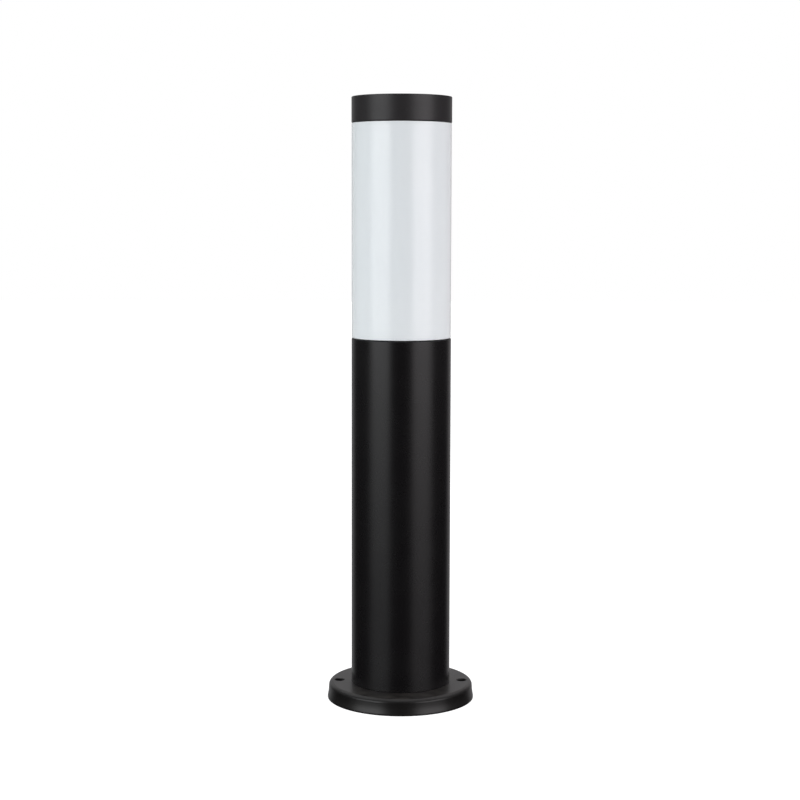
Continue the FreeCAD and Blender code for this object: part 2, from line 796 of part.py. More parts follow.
def lampholder_contact():
    low = holder_cavity
    high = low + contact_rise - contact_sheet
    bottom = [V(rivet_x + contact_width / 2, 0, low), V(rivet_x - contact_width / 2, 0, low),
              V(2.5, 0, high), V(-3.5, 0, high), V(-6.5, 0, high - 2 * contact_sheet)]
    top = [point + V(0, 0, contact_sheet) for point in reversed(bottom)]
    outline = Part.makePolygon(bottom + top + bottom[:1])
    strip = Part.Face(outline).extrude(V(0, contact_width, 0))
    strip.translate(V(0, -contact_width / 2, 0))
    return strip.cut(cylinder(m3_radius + hole_gap, low - 1, low + 2, rivet_x))


def contact_rivet():
    seat = holder_cavity + contact_sheet
    shank = cylinder(m3_radius, rivet_bottom, seat, rivet_x)
    head = cylinder(m3_head_radius * 0.9, seat, seat + 0.9, rivet_x)
    return shank.fuse(head).removeSplitter()


# ---------------------------------------------------------------- lamp
def lamp_contact():
    outline = polygon([(0, lamp_tip), (lamp_tip_radius * 0.6, lamp_tip),
                       (lamp_tip_radius, lamp_tip + lamp_tip_height * 0.6),
                       (lamp_tip_radius, lamp_tip + lamp_tip_height), (0, lamp_tip + lamp_tip_height)])
    return turned(outline)


def lamp_insulator():
    low = lamp_tip + lamp_tip_height
    cone_top = lamp_shell_bottom - insulator_drop
    plug_top = lamp_shell_bottom + insulator_plug
    outline = polygon([(0, low), (lamp_tip_radius + insulator_lip, low), (insulator_radius, cone_top),
                       (insulator_radius, plug_top), (0, plug_top)])
    return turned(outline)


def lamp_screw_shell():
    return rolled_sleeve(thread_radius, lamp_shell_bottom, lamp_shell_top)


def lamp_housing():
    wall = lamp_housing_wall
    neck_low = lamp_shell_top - lamp_neck_length
    top_radius = globe_rim
    low_radius = thread_radius + thread_throw + 0.3
    middle = ((low_radius + top_radius) / 2 + 1.2, (lamp_shoulder + globe_bottom) / 2)
    ledge = board_bottom
    inner_low = lamp_shoulder + wall
    outline = [
        line((lamp_neck_radius - wall, neck_low), (lamp_neck_radius, neck_low)),
        line((lamp_neck_radius, neck_low), (lamp_neck_radius, lamp_shoulder)),
        line((lamp_neck_radius, lamp_shoulder), (low_radius, lamp_shoulder)),
        arc((low_radius, lamp_shoulder), middle, (top_radius, globe_bottom)),
        line((top_radius, globe_bottom), (top_radius - wall, globe_bottom)),
        line((top_radius - wall, globe_bottom), (top_radius - wall, ledge)),
        line((top_radius - wall, ledge), (top_radius - 2 * wall, ledge)),
        line((top_radius - 2 * wall, ledge), (top_radius - 2 * wall, ledge - wall)),
        line((top_radius - 2 * wall, ledge - wall), (lamp_neck_radius - wall, inner_low)),
        line((lamp_neck_radius - wall, inner_low), (lamp_neck_radius - wall, neck_low)),
    ]
    return turned(outline)


def lamp_globe():
    def dome(radius):
        low = globe_bottom - globe_centre
        rim = math.sqrt(radius ** 2 - low ** 2)
        return rim, (radius, globe_centre), (0, globe_centre + radius)

    outer_rim, outer_wide, outer_top = dome(lamp_bulb_radius)
    inner_rim, inner_wide, inner_top = dome(lamp_bulb_radius - lamp_globe_wall)
    outline = [
        arc((outer_rim, globe_bottom), outer_wide, outer_top),
        line(outer_top, inner_top),
        arc(inner_top, inner_wide, (inner_rim, globe_bottom)),
        line((inner_rim, globe_bottom), (outer_rim, globe_bottom)),
    ]
    return turned(outline)


def lamp_led_board():
    radius = globe_rim - lamp_housing_wall - slip_gap
    return cylinder(radius, board_bottom, board_top)


def lamp_leds():
    half = led_side / 2
    chip = block(led_circle - half, led_circle + half, -half, half, board_top, board_top + led_height)
    return Part.makeCompound([at_angle(chip, i * 360 / led_count) for i in range(led_count)])


def lamp_driver():
    half = lamp_neck_radius - lamp_housing_wall - 1.5
    low = lamp_shell_top - lamp_neck_length + 1
    high = board_bottom
    board = block(-half, half, -0.6, 0.6, low, high)
    middle = (low + high) / 2
    capacitor = cylinder(2.5, middle, middle + 8, 0, 3.0)
    return board.fuse(capacitor).removeSplitter()


# ---------------------------------------------------------------- head
def head_seal():
    return ring(window_radius - head_seal_inset, collar_radius + turn_gap, post_top, head_bottom)


def diffuser_collar():
    bore = collar_radius - collar_wall
    spigot = window_bore - slip_gap
    spigot_top = head_bottom + collar_spigot_height
    inside = spigot - collar_wall
    step_top = head_bottom + collar_wall
    outline = polygon([(bore, collar_bottom), (collar_radius, collar_bottom),
                       (collar_radius, head_bottom), (spigot, head_bottom), (spigot, spigot_top),
                       (inside, spigot_top), (inside, step_top), (bore, step_top)])
    body = turned(outline)
    lug = wedge(lug_radius, collar_bottom, collar_bottom + lug_height, -lug_angle / 2, lug_angle / 2)
    lug = lug.cut(cylinder(collar_radius - collar_wall / 2, collar_bottom, collar_bottom + lug_height))
    for i in range(lug_count):
        body = body.fuse(at_angle(lug, i * 360 / lug_count))
    return body.removeSplitter()


def diffuser():
    edge = window_edge
    outline = polygon([(window_bore, head_bottom), (window_radius - edge, head_bottom),
                       (window_radius, head_bottom + edge), (window_radius, window_shoulder - edge),
                       (window_radius - edge, window_shoulder), (window_spigot_radius, window_shoulder),
                       (window_spigot_radius, window_end), (0, window_end),
                       (0, window_end - window_top), (window_bore, window_end - window_top)])
    body = turned(outline)
    hole = cylinder(m4_radius + hole_gap, window_end - window_top, window_end, cap_boss_circle)
    return cut_all(body, ports(hole)).removeSplitter()


def cap_seal():
    outer = window_radius - head_seal_inset
    return ring(outer, window_spigot_radius + slip_gap / 2, window_shoulder, cap_bottom)


def top_cap():
    edge = cap_edge_radius
    diagonal = edge * math.sqrt(0.5)
    corner = (post_radius - edge + diagonal, total_height - edge + diagonal)
    outline = [
        line((0, cap_ceiling), (cap_bore, cap_ceiling)),
        line((cap_bore, cap_ceiling), (cap_bore, cap_bottom)),
        line((cap_bore, cap_bottom), (post_radius, cap_bottom)),
        line((post_radius, cap_bottom), (post_radius, total_height - edge)),
        arc((post_radius, total_height - edge), corner, (post_radius - edge, total_height)),
        line((post_radius - edge, total_height), (0, total_height)),
        line((0, total_height), (0, cap_ceiling)),
    ]
    body = turned(outline)
    for boss in ports(cylinder(cap_boss_radius, window_end, cap_ceiling + cap_top / 2, cap_boss_circle)):
        body = body.fuse(boss)
    hole = cylinder(m4_radius + thread_gap, window_end, cap_ceiling, cap_boss_circle)
    return cut_all(body, ports(hole)).removeSplitter()


def cap_screws():
    seat = window_end - window_top - washer_thickness
    length = min(cap_screw_length, cap_ceiling - seat - 0.5)
    one = screw(m4_radius, m4_head_radius, m4_head_height, seat, length, cap_boss_circle, 0, False)
    return Part.makeCompound(ports(one))


def cap_screw_washers():
    top = window_end - window_top
    one = ring(m4_head_radius + 0.8, m4_radius + slip_gap, top - washer_thickness, top, cap_boss_circle)
    return Part.makeCompound(ports(one))


# ---------------------------------------------------------------- all pieces
pieces = [
    base_flange, spigot_o_ring, flange_screws, post_tube,
    gland_body, gland_washer, gland_locknut, gland_seal, gland_dome_nut,
    terminal_bracket, bracket_screws, terminal_block, terminal_sleeves, terminal_screws, block_screws,
    earth_screw, earth_ring_terminal, earth_wire, live_wire, neutral_wire,
    socket_ring, bulkhead, socket_ring_screws, wire_grommet,
    lampholder_bracket, lampholder_bracket_screws, lampholder_body, lampholder_screws,
    lampholder_shell, lampholder_contact, contact_rivet,
    lamp_contact, lamp_insulator, lamp_screw_shell, lamp_housing, lamp_globe,
    lamp_led_board, lamp_leds, lamp_driver,
    head_seal, diffuser_collar, diffuser, cap_seal, top_cap, cap_screws, cap_screw_washers,
]

os.makedirs("parts", exist_ok=True)
for piece in pieces:
    shape = piece()
    if not shape.isValid() or not shape.Solids:
        raise RuntimeError(piece.__name__ + " is not a valid solid")
    shape.exportStep("parts/" + piece.__name__ + ".step")
    print(piece.__name__, "solids", len(shape.Solids), "volume", round(shape.Volume / 1000, 2), "cm3")
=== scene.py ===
import json
import math

import bmesh
import bpy
from mathutils import Matrix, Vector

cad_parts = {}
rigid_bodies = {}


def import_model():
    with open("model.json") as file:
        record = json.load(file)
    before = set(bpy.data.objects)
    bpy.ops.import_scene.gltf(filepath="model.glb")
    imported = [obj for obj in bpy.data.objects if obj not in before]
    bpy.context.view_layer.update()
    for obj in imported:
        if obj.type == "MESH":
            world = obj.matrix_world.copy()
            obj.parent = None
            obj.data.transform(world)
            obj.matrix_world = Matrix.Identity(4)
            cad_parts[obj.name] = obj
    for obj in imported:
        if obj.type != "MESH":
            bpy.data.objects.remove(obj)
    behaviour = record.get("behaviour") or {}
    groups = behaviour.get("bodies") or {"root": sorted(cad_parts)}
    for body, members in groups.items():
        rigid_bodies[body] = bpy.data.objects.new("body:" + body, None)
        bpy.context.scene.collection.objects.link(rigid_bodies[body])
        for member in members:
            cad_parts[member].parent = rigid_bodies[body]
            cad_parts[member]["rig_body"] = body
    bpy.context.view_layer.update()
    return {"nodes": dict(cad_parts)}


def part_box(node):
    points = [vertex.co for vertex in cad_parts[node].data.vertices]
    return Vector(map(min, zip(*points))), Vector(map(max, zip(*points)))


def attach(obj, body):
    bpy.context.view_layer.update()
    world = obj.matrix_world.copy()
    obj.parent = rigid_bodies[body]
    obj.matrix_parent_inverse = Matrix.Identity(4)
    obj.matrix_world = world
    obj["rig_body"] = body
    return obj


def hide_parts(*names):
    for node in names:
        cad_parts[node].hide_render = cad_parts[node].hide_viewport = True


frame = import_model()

MM = 0.001
FULL_TURN = 2 * math.pi
WHITE = (1.0, 1.0, 1.0, 1.0)

# ------------------------------------------------------------------ camera
CAMERA_DISTANCE = 1.289  # from the post's axis
CAMERA_HEIGHT = 0.3676
CAMERA_PITCH = 0.09366  # radians down
CAMERA_TURN = 0.0007
CAMERA_ROLL = 0.00237
CAMERA_LENS = 77.155
CAMERA_SENSOR = 36.0
CAMERA_SHIFT = -0.03

# ------------------------------------------------------------------ light
# Degrees round from the camera's side, and how bright the studio is there at eye level.
FRONT_LIGHT = ((0, 0.02), (20, 0.04), (33, 1.0), (62, 1.0), (84, 0.06), (180, 0.0))
BACK_LIGHT = ((0, 0.0), (128, 0.0), (152, 1.0), (180, 1.0))
SIDE_LIGHT = ((0, 0.0), (58, 0.0), (84, 1.0), (125, 1.0), (150, 0.0), (180, 0.0))
FRONT_STRENGTH = 2.2
BACK_STRENGTH = 0.34
SIDE_STRENGTH = 1.7
TOP_STRENGTH = 3.8
FRONT_FLOOR_SHARE = 0.11
FRONT_FADE = (-0.18, 0.0)  # sines of the heights between which it rises to full
FRONT_TOP_FADE = (0.18, 0.42)  # and between which it ends
SIDE_FADE = (0.22, 0.42)
FLOOR_STRENGTH = 0.28  # light thrown up by the pale ground near the foot
FLOOR_FADE = (-0.62, -0.42)
BACK_HIGH_SHARE = 1.15
BACK_FADE = (0.06, 0.24)
BACK_TOP_FADE = (0.40, 0.70)
TOP_FADE = (0.45, 0.75)
OVERHEAD_GLOSS = 0.12  # share of the overhead light that shows in gloss, as through a dense scrim
LEFT_TINT = (0.975, 0.985, 1.0, 1.0)
RIGHT_TINT = (1.0, 0.962, 0.985, 1.0)
TINT_FADE = (-0.5, 0.5)

FLOOR_SIZE = 6.0
FLOOR_COLOR = (0.92, 0.92, 0.92, 1.0)
FLOOR_GLOW = 0.8  # share of the floor's own paleness, against the light that falls on it

# ------------------------------------------------------------------ mesh making
ROUND_STEPS = 192
SMALL_STEPS = 72
LAMP_STEPS = 96
EDGE_SEGMENTS = 3
SOFT_EDGE_SEGMENTS = 4
WELD = 0.002 * MM
SHARP_ANGLE = math.radians(35)
CORNER_ANGLE = math.radians(28)


def outline_arc(centre, radius, start, end, steps):
    """Points of an arc in the (radius, height) plane, its angles in degrees."""
    turns = [math.radians(start + (end - start) * i / steps) for i in range(steps + 1)]
    return [(centre[0] + radius * math.cos(t), centre[1] + radius * math.sin(t)) for t in turns]


def lathe(outline, steps=ROUND_STEPS, centre=(0.0, 0.0)):
    """Spins an outline of (radius, height) points a full turn about an upright axis."""
    bm = bmesh.new()
    verts = [bm.verts.new((centre[0] + radius, centre[1], height)) for radius, height in outline]
    ends_on_axis = outline[0][0] == 0 and outline[-1][0] == 0
    following = verts[1:] if ends_on_axis else verts[1:] + verts[:1]
    edges = [bm.edges.new(pair) for pair in zip(verts, following)]
    bmesh.ops.spin(bm, geom=verts + edges, cent=(*centre, 0), axis=(0, 0, 1),
                   angle=FULL_TURN, steps=steps, use_merge=True)
    bmesh.ops.remove_doubles(bm, verts=bm.verts, dist=WELD)
    bmesh.ops.dissolve_degenerate(bm, dist=WELD, edges=bm.edges)
    bmesh.ops.recalc_face_normals(bm, faces=bm.faces)
    return bm


def soften(bm, width, segments=EDGE_SEGMENTS):
    """Rounds every sharp edge."""
    sharp = [edge for edge in bm.edges if edge.is_manifold and edge.calc_face_angle() > SHARP_ANGLE]
    bmesh.ops.bevel(bm, geom=sharp, offset=width, offset_type="OFFSET", segments=segments,
                    profile=0.5, affect="EDGES", material=-1, clamp_overlap=True)
    return bm


def join(*parts):
    """One bmesh of several."""
    whole = parts[0]
    for part in parts[1:]:
        mesh = bpy.data.meshes.new("part")
        part.to_mesh(mesh)
        part.free()
        whole.from_mesh(mesh)
        bpy.data.meshes.remove(mesh)
    return whole


def new_object(bm, name):
    mesh = bpy.data.meshes.new(name)
    bm.to_mesh(mesh)
    bm.free()
    mesh.shade_smooth()
    mesh.set_sharp_from_angle(angle=CORNER_ANGLE)
    thing = bpy.data.objects.new(name, mesh)
    bpy.context.scene.collection.objects.link(thing)
    return thing


def add_piece(bm, name, cad_node):
    """Finished piece that stands for a CAD node, on the same body and with the same finish."""
    thing = new_object(bm, name)
    even = thing.modifiers.new("even shading", "WEIGHTED_NORMAL")
    even.keep_sharp = True
    slot = frame["nodes"][cad_node].data.materials[0].name
    thing.data.materials.append(FINISHES[slot])
    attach(thing, frame["nodes"][cad_node]["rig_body"])
    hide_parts(cad_node)
    return thing


# ------------------------------------------------------------------ node helpers
def plug(tree, value, socket):
    """Sets a socket to a plain value, or links an output to it."""
    if isinstance(value, bpy.types.NodeSocket):
        tree.links.new(value, socket)
    else:
        socket.default_value = value


def node(tree, kind, settings=(), **inputs):
    made = tree.nodes.new(kind)
    for label, value in dict(settings).items():
        setattr(made, label, value)
    for label, value in inputs.items():
        plug(tree, value, made.inputs[label.replace("_", " ")])
    return made


def math_node(tree, operation, *values):
    made = tree.nodes.new("ShaderNodeMath")
    made.operation = operation
    for value, socket in zip(values, made.inputs):
        plug(tree, value, socket)
    return made.outputs[0]


def mapped(tree, value, low, high, to_low=0.0, to_high=1.0):
    made = node(tree, "ShaderNodeMapRange", {"interpolation_type": "SMOOTHSTEP"}, Value=value)
    for label, bound in (("From Min", low), ("From Max", high), ("To Min", to_low), ("To Max", to_high)):
        made.inputs[label].default_value = bound
    return made.outputs["Result"]


def mixed(tree, factor, first, second, blend="MIX"):
    """Two colours mixed by a mask."""
    made = node(tree, "ShaderNodeMix", {"data_type": "RGBA", "blend_type": blend})
    plug(tree, factor, made.inputs[0])
    plug(tree, first, made.inputs[6])
    plug(tree, second, made.inputs[7])
    return made.outputs[2]


def ramp(tree, value, stops):
    """Colour ramp of greys from (degrees, brightness) stops over half a turn."""
    made = node(tree, "ShaderNodeValToRGB", Fac=value)
    made.color_ramp.interpolation = "EASE"
    places = made.color_ramp.elements
    while len(places) < len(stops):
        places.new(1.0)
    for place, (degrees, brightness) in zip(places, stops):
        place.position = degrees / 180
        place.color = (brightness, brightness, brightness, 1.0)
    return made.outputs["Color"]


def noise(tree, vector, scale, detail=2.0, roughness=0.5):
    return node(tree, "ShaderNodeTexNoise", Vector=vector, Scale=scale, Detail=detail,
                Roughness=roughness).outputs["Fac"]


def new_group(name, inputs, outputs):
    """Node group with float inputs and outputs. Gives the tree, its inputs and its exit."""
    tree = bpy.data.node_groups.new(name, "ShaderNodeTree")
    for label, value in inputs.items():
        socket = tree.interface.new_socket(label, in_out="INPUT", socket_type="NodeSocketFloat")
        socket.default_value = value
    for label in outputs:
        tree.interface.new_socket(label, in_out="OUTPUT", socket_type="NodeSocketFloat")
    entry = tree.nodes.new("NodeGroupInput")
    leave = tree.nodes.new("NodeGroupOutput")
    return tree, entry.outputs, leave.inputs


def place(tree, group, **inputs):
    made = tree.nodes.new("ShaderNodeGroup")
    made.node_tree = group
    for label, value in inputs.items():
        plug(tree, value, made.inputs[label.replace("_", " ")])
    return made.outputs


# ------------------------------------------------------------------ effects that finishes share
# Each band is the pair of noise or slope values between which a mask rises.
TONE_BAND = (0.35, 0.65)
ROUGHNESS_BAND = (0.3, 0.7)
SPECK_BAND = (0.62, 0.72)
BEND_BAND = (0.01, 0.16)
FILM_BAND = (0.36, 0.70)
UPWARD_BAND = (0.55, 0.98)
SPECK_FINENESS = 1.7  # specks to grains
PATCH_SCALE = 260.0  # worn patches to a metre
FILM_SCALE = 90.0  # drifts of dust to a metre
DUST_ROUGHNESS = 0.5
RING_ROUGHNESS = 0.06


def fine_grain():
    """Skin of a surface: a fine even grain, and slow drifts of tone. Sizes in millimetres."""
    tree, given, leave = new_group("fine_grain", {"Grain size": 1.0, "Drift size": 40.0},
                                   ("Grain", "Drift", "Specks"))
    where = node(tree, "ShaderNodeTexCoord").outputs["Object"]
    metres = math_node(tree, "MULTIPLY", given["Grain size"], MM)
    grain_scale = math_node(tree, "DIVIDE", 1.0, metres)
    drift_metres = math_node(tree, "MULTIPLY", given["Drift size"], MM)
    drift_scale = math_node(tree, "DIVIDE", 1.0, drift_metres)
    plug(tree, noise(tree, where, grain_scale, 3.0, 0.55), leave["Grain"])
    plug(tree, noise(tree, where, drift_scale, 3.0, 0.5), leave["Drift"])
    speck_scale = math_node(tree, "MULTIPLY", grain_scale, SPECK_FINENESS)
    plug(tree, mapped(tree, noise(tree, where, speck_scale, 1.0), *SPECK_BAND), leave["Specks"])
    return tree


def edge_wear_and_highlight():
    """Mask of the narrow band along an edge, where a finish is thin or rubbed and where a painted edge
    highlight lightens it.
    """
    tree, given, leave = new_group("edge_wear_and_highlight", {"Width": 0.6, "Unevenness": 0.5}, ("Edge",))
    metres = math_node(tree, "MULTIPLY", given["Width"], MM)
    rounded = node(tree, "ShaderNodeBevel", {"samples": 6}, Radius=metres).outputs[0]
    flat = node(tree, "ShaderNodeNewGeometry").outputs["Normal"]
    turned = node(tree, "ShaderNodeVectorMath", {"operation": "DOT_PRODUCT"})
    plug(tree, rounded, turned.inputs[0])
    plug(tree, flat, turned.inputs[1])
    bend = math_node(tree, "SUBTRACT", 1.0, turned.outputs["Value"])
    where = node(tree, "ShaderNodeTexCoord").outputs["Object"]
    patches = noise(tree, where, PATCH_SCALE, 3.0, 0.6)
    calm = math_node(tree, "SUBTRACT", 1.0, given["Unevenness"])
    share = math_node(tree, "MULTIPLY_ADD", mapped(tree, patches, *TONE_BAND), given["Unevenness"], calm)
    plug(tree, math_node(tree, "MULTIPLY", mapped(tree, bend, *BEND_BAND), share), leave["Edge"])
    return tree


def settled_dust():
    """Mask of a thin film of dust on faces that look up."""
    tree, given, leave = new_group("settled_dust", {"Amount": 0.2}, ("Dust",))
    facing = node(tree, "ShaderNodeSeparateXYZ",
                  Vector=node(tree, "ShaderNodeNewGeometry").outputs["Normal"]).outputs["Z"]
    where = node(tree, "ShaderNodeTexCoord").outputs["Object"]
    film = mapped(tree, noise(tree, where, FILM_SCALE, 5.0, 0.62), *FILM_BAND)
    upward = mapped(tree, facing, *UPWARD_BAND)
    plug(tree, math_node(tree, "MULTIPLY", math_node(tree, "MULTIPLY", film, upward), given["Amount"]),
         leave["Dust"])
    return tree


def turning_marks():
    """Fine rings left by turning or rolling about the upright axis of a piece."""
    tree, given, leave = new_group("turning_marks", {"Pitch": 0.3}, ("Marks",))
    where = node(tree, "ShaderNodeSeparateXYZ",
                 Vector=node(tree, "ShaderNodeTexCoord").outputs["Object"]).outputs
    across = math_node(tree, "SQRT", math_node(
        tree, "ADD", math_node(tree, "POWER", where["X"], 2.0), math_node(tree, "POWER", where["Y"], 2.0)))
    spot = node(tree, "ShaderNodeCombineXYZ", X=across, Z=where["Z"]).outputs[0]
    scale = math_node(tree, "DIVIDE", 1.0, math_node(tree, "MULTIPLY", given["Pitch"], MM))
    plug(tree, noise(tree, spot, scale, 2.0, 0.6), leave["Marks"])
    return tree


def drawn_lines():
    """Faint upright lines, as extruding or drawing leaves along a tube."""
    tree, given, leave = new_group("drawn_lines", {"Width": 1.5, "Length": 120.0}, ("Lines",))
    where = node(tree, "ShaderNodeTexCoord").outputs["Object"]
    wide = math_node(tree, "DIVIDE", 1.0, math_node(tree, "MULTIPLY", given["Width"], MM))
    tall = math_node(tree, "DIVIDE", 1.0, math_node(tree, "MULTIPLY", given["Length"], MM))
    stretch = node(tree, "ShaderNodeCombineXYZ", X=wide, Y=wide, Z=tall).outputs[0]
    spot = node(tree, "ShaderNodeVectorMath", {"operation": "MULTIPLY"})
    plug(tree, where, spot.inputs[0])
    plug(tree, stretch, spot.inputs[1])
    plug(tree, noise(tree, spot.outputs[0], 1.0, 3.0, 0.5), leave["Lines"])
    return tree


EFFECTS = {effect.__name__: effect()
           for effect in (fine_grain, edge_wear_and_highlight, settled_dust, turning_marks, drawn_lines)}


# ------------------------------------------------------------------ finishes
DUST_COLOR = (0.22, 0.20, 0.17, 1.0)


def surface(name, color, drift_color, roughness, spread=0.05, grain=1.0, depth=0.004, drift=40.0,
            edge_color=None, edge=0.5, edge_width=0.6, dust=0.0, specks=None, marks=0.0, lines=0.0,
            **sockets):
    """Material with its own grain, drifts of tone, edges (worn, and lightened as a painted edge highlight)
    and dust. Sizes in millimetres.

    roughness is the middle of a range spread wide; depth is the grain's height; marks and
    lines are the heights of turning rings and of drawn lines, where the piece has them.
    """
    material = bpy.data.materials.new(name)
    material.use_nodes = True
    tree = material.node_tree
    shader = tree.nodes["Principled BSDF"]
    for label, value in sockets.items():
        shader.inputs[label.replace("_", " ")].default_value = value
    skin = place(tree, EFFECTS["fine_grain"], Grain_size=grain, Drift_size=drift)
    tone = mixed(tree, mapped(tree, skin["Drift"], *TONE_BAND), (*color, 1.0), (*drift_color, 1.0))
    if specks:
        tone = mixed(tree, skin["Specks"], tone, (*specks, 1.0))
    rough = mapped(tree, skin["Drift"], *ROUGHNESS_BAND, roughness - spread, roughness + spread)
    # edge colour along the edges: wear, and where it is lighter than the tone, a painted edge highlight
    if edge_color:
        rim = place(tree, EFFECTS["edge_wear_and_highlight"], Width=edge_width)["Edge"]
        tone = mixed(tree, math_node(tree, "MULTIPLY", rim, edge), tone, (*edge_color, 1.0))
    if dust:
        film = place(tree, EFFECTS["settled_dust"], Amount=dust)["Dust"]
        tone = mixed(tree, film, tone, DUST_COLOR)
        rough = math_node(tree, "ADD", rough, math_node(tree, "MULTIPLY", film, DUST_ROUGHNESS))
    height = math_node(tree, "MULTIPLY", skin["Grain"], depth)
    if marks:
        rings = place(tree, EFFECTS["turning_marks"])["Marks"]
        height = math_node(tree, "MULTIPLY_ADD", rings, marks, height)
        rough = math_node(tree, "MULTIPLY_ADD", mapped(tree, rings, *ROUGHNESS_BAND), RING_ROUGHNESS, rough)
    if lines:
        drawn = place(tree, EFFECTS["drawn_lines"])["Lines"]
        height = math_node(tree, "MULTIPLY_ADD", drawn, lines, height)
    bump = node(tree, "ShaderNodeBump", Height=height, Distance=MM)
    plug(tree, tone, shader.inputs["Base Color"])
    plug(tree, rough, shader.inputs["Roughness"])
    plug(tree, bump.outputs[0], shader.inputs["Normal"])
    return material


def black_coat(name, color, roughness, grain, depth, dust, lines=0.0):
    """Satin black powder coat: a fine orange peel, thin and greyer at the edges, where the grey is also a
    painted edge highlight.
    """
    darker = tuple(0.86 * part for part in color)
    return surface(name, color, darker, roughness, spread=0.02, grain=grain, depth=depth, drift=22.0,
                   edge_color=(0.045, 0.044, 0.046), edge=0.5, edge_width=0.5, dust=dust,
                   specks=tuple(1.5 * part for part in color), lines=lines)


def bare_metal(name, color, roughness, marks=0.004, grain=0.25, stain=0.8, edge_color=None):
    stained = tuple(stain * part for part in color)
    # edges default to a lighter tone: a painted edge highlight
    return surface(name, color, stained, roughness, spread=0.07, grain=grain, depth=0.002, drift=6.0,
                   edge_color=edge_color or tuple(min(1.0, 1.15 * part) for part in color),
                   marks=marks, Metallic=1.0)


def moulded(name, color, roughness, grain=0.35, depth=0.004, edge_color=None, **sockets):
    """Moulded plastic: spark-eroded grain and a little sink in the tone."""
    second = tuple(0.93 * part for part in color)
    # edges default to a lighter tone: a painted edge highlight
    return surface(name, color, second, roughness, spread=0.05, grain=grain, depth=depth, drift=14.0,
                   edge_color=edge_color or tuple(min(1.0, 1.2 * part) for part in color), edge=0.6,
                   edge_width=0.3, **sockets)


def rubber(name, color):
    return surface(name, color, tuple(1.5 * part for part in color), 0.62, spread=0.08, grain=0.5,
                   depth=0.010, drift=5.0, dust=0.06, specks=(0.05, 0.05, 0.05), Sheen_Weight=0.15,
                   Sheen_Roughness=0.5)


def opal(name, color):
    """Opal acrylic: a glossy skin over a milky body, with slow clouds along its height."""
    # the lighter edge colour is a painted edge highlight
    return surface(name, color, (0.808, 0.855, 0.870), 0.20, spread=0.03, grain=2.5, depth=0.0015,
                   drift=70.0, edge_color=(0.90, 0.91, 0.92), edge=0.55, edge_width=0.5, dust=0.03,
                   lines=0.006, Subsurface_Weight=0.25, Subsurface_Radius=(0.004, 0.004, 0.004),
                   Subsurface_Scale=1.0, Diffuse_Roughness=0.6, IOR=1.49,
                   Coat_Weight=0.6, Coat_Roughness=0.14)


def lead_cover(name, color):
    return surface(name, color, tuple(0.85 * part for part in color), 0.36, spread=0.05, grain=0.8,
                   depth=0.003, drift=8.0, IOR=1.53)
